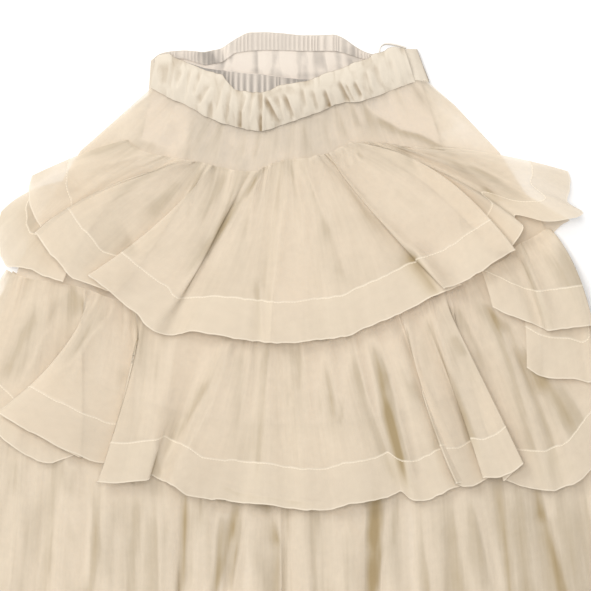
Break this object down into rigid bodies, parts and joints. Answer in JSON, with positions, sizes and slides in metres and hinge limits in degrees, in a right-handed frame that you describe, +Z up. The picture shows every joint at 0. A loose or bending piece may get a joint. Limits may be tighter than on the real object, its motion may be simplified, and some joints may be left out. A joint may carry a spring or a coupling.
{
  "type": "tiered tulle skirt",
  "caption": "Sheer tiered skirt with a gathered elastic waistband and layered ruffles, laid flat with its front up.",
  "frame": {"origin": "under the middle of the skirt, on the surface it lies on", "axes": "+Z up, away from the surface; +Y from the hem to the waist; +X to the right as seen from above, with the skirt's front up"},
  "size_m": [0.8904, 0.8819, 0.0568],
  "materials": {
    "tulle": "soft sheer net in layers, cream, dull",
    "waistband": "plain woven cotton, cream, slightly crisp",
    "lining": "fine plain lining, pinkish ivory, faint sheen",
    "ribbon": "narrow satin ribbon, ivory"
  },
  "bodies": {
    "root": {"waistband_front": "waistband", "waistband_back": "waistband", "casing_front": "lining", "casing_back": "lining", "hanger_loop": "ribbon", "lining_front": "lining", "lining_back": "lining", "base_front": "tulle", "base_back": "tulle", "ruffle_top_front": "tulle", "ruffle_top_back": "tulle", "ruffle_top_side": "tulle", "ruffle_middle_front": "tulle", "ruffle_middle_back": "tulle", "ruffle_middle_side": "tulle", "bottom_tier_front": "tulle", "bottom_tier_back": "tulle"}
  },
  "joints": []
}
